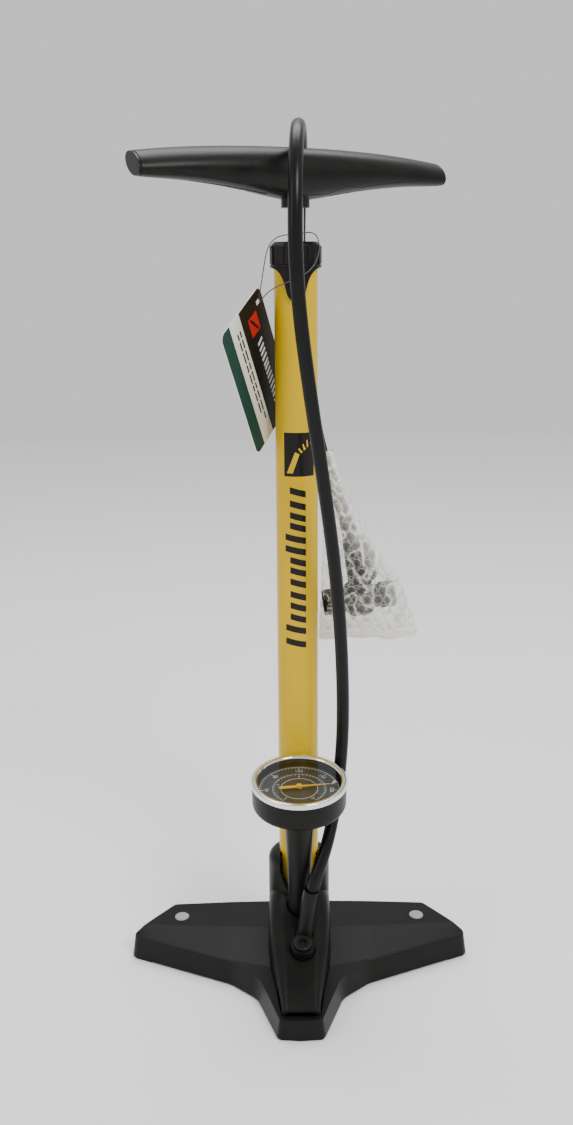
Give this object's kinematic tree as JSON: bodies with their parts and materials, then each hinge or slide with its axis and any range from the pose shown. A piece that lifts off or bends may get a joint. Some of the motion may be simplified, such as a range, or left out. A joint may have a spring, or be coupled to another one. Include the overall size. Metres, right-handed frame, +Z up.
{
  "type": "floor bike pump",
  "caption": "Upright floor pump for bicycle tyres: winged foot base, painted barrel, bar handle on a sliding rod, gauge on a stem, and a draped hose with a lever-locked valve head.",
  "frame": {"origin": "on the barrel's axis at floor level, at the centre of the base's middle foot pad", "axes": "+Z up along the barrel, -Y towards the toe, the gauge and the person reading it, +X to the right seen from the front"},
  "size_m": [0.2812, 0.1915, 0.664],
  "materials": {
    "black_moulding": "satin moulded plastic",
    "handle_plastic": "satin moulded plastic with a light grain",
    "grey_plastic": "satin grey plastic",
    "white_plastic": "satin white plastic",
    "yellow_paint": "gloss yellow enamel",
    "black_rubber": "matt rubber",
    "hose_rubber": "satin rubber hose",
    "chrome": "polished chrome plating",
    "steel": "bright steel",
    "spring_steel": "plain spring steel",
    "brass": "turned brass",
    "aluminium": "machined aluminium",
    "clear_lens": "clear acrylic",
    "dial_card": "printed dark dial",
    "needle_yellow": "yellow-orange paint",
    "tag_card": "printed card",
    "nylon": "clear nylon line",
    "bubble_film": "clear bubble film"
  },
  "bodies": {
    "stand": {"base_shell": "black_moulding", "base_plate": "black_moulding", "base_cover": "black_moulding", "rubber_feet": "black_rubber", "wing_plugs": "grey_plastic", "base_screws": "steel", "valve_block": "aluminium", "valve_plug": "brass", "barrel": "yellow_paint", "barrel_oring": "black_rubber", "check_spring": "spring_steel", "barrel_collar": "black_moulding", "screw_cap": "handle_plastic", "rod_bush": "white_plastic", "gauge_stem": "black_moulding", "gauge_cup": "black_moulding", "gauge_bezel": "chrome", "gauge_lens": "clear_lens", "gauge_gasket": "black_rubber", "gauge_dial": "dial_card", "gauge_bridge": "brass", "bourdon_tube": "brass", "hose_elbow": "black_moulding", "elbow_bolt": "steel", "elbow_washer": "black_rubber", "hose_sleeve": "hose_rubber", "hose": "hose_rubber", "head_sleeve": "hose_rubber", "head_body": "black_moulding", "mouth_seals": "black_rubber", "mouth_nuts": "black_moulding", "lever_pin": "steel", "swing_tag": "tag_card", "tag_string": "nylon", "head_wrap": "bubble_film"},
    "seal_ring": {"piston_seal": "black_rubber"},
    "plunger": {"pump_rod": "steel", "piston": "white_plastic", "piston_nut": "steel", "rod_bumper": "black_rubber", "handle_top": "handle_plastic", "handle_bottom": "handle_plastic", "handle_end_caps": "handle_plastic", "handle_screws": "steel", "handle_pin": "steel"},
    "valve_ball": {"check_ball": "steel"},
    "needle": {"gauge_needle": "needle_yellow", "needle_pinion": "brass"},
    "sector": {"gauge_sector": "brass"},
    "lever": {"head_lever": "black_moulding"}
  },
  "joints": [
    {"name": "rod_slide", "type": "slide", "parent": "stand", "child": "seal_ring", "axis": [0, 0, 1], "range_m": [0, 0.47], "deforming": ["hose"]},
    {"name": "handle_spin", "type": "hinge", "parent": "seal_ring", "child": "plunger", "pos_m": [0, 0, 0.6], "axis": [0, 0, 1], "continuous": true},
    {"name": "valve_lift", "type": "slide", "parent": "stand", "child": "valve_ball", "axis": [0, 0, -1], "range_m": [0, 0.002], "deforming": ["check_spring"]},
    {"name": "needle_turn", "type": "hinge", "parent": "stand", "child": "needle", "pos_m": [0, -0.056, 0.1835], "axis": [0, 0.1219, -0.9925], "range_deg": [0, 270]},
    {"name": "sector_turn", "type": "hinge", "parent": "stand", "child": "sector", "pos_m": [-0.0246, -0.056, 0.1835], "axis": [0, 0.1219, -0.9925], "range_deg": [-45, 0], "deforming": ["bourdon_tube"]},
    {"name": "head_lever", "type": "hinge", "parent": "stand", "child": "lever", "pos_m": [0.0591, 0.03, 0.32448], "axis": [0, 1, 0], "range_deg": [0, 85], "deforming": ["head_wrap"]}
  ],
  "couplings": [
    {"joint": "sector_turn", "follows": "needle_turn", "ratio": -0.16667}
  ]
}
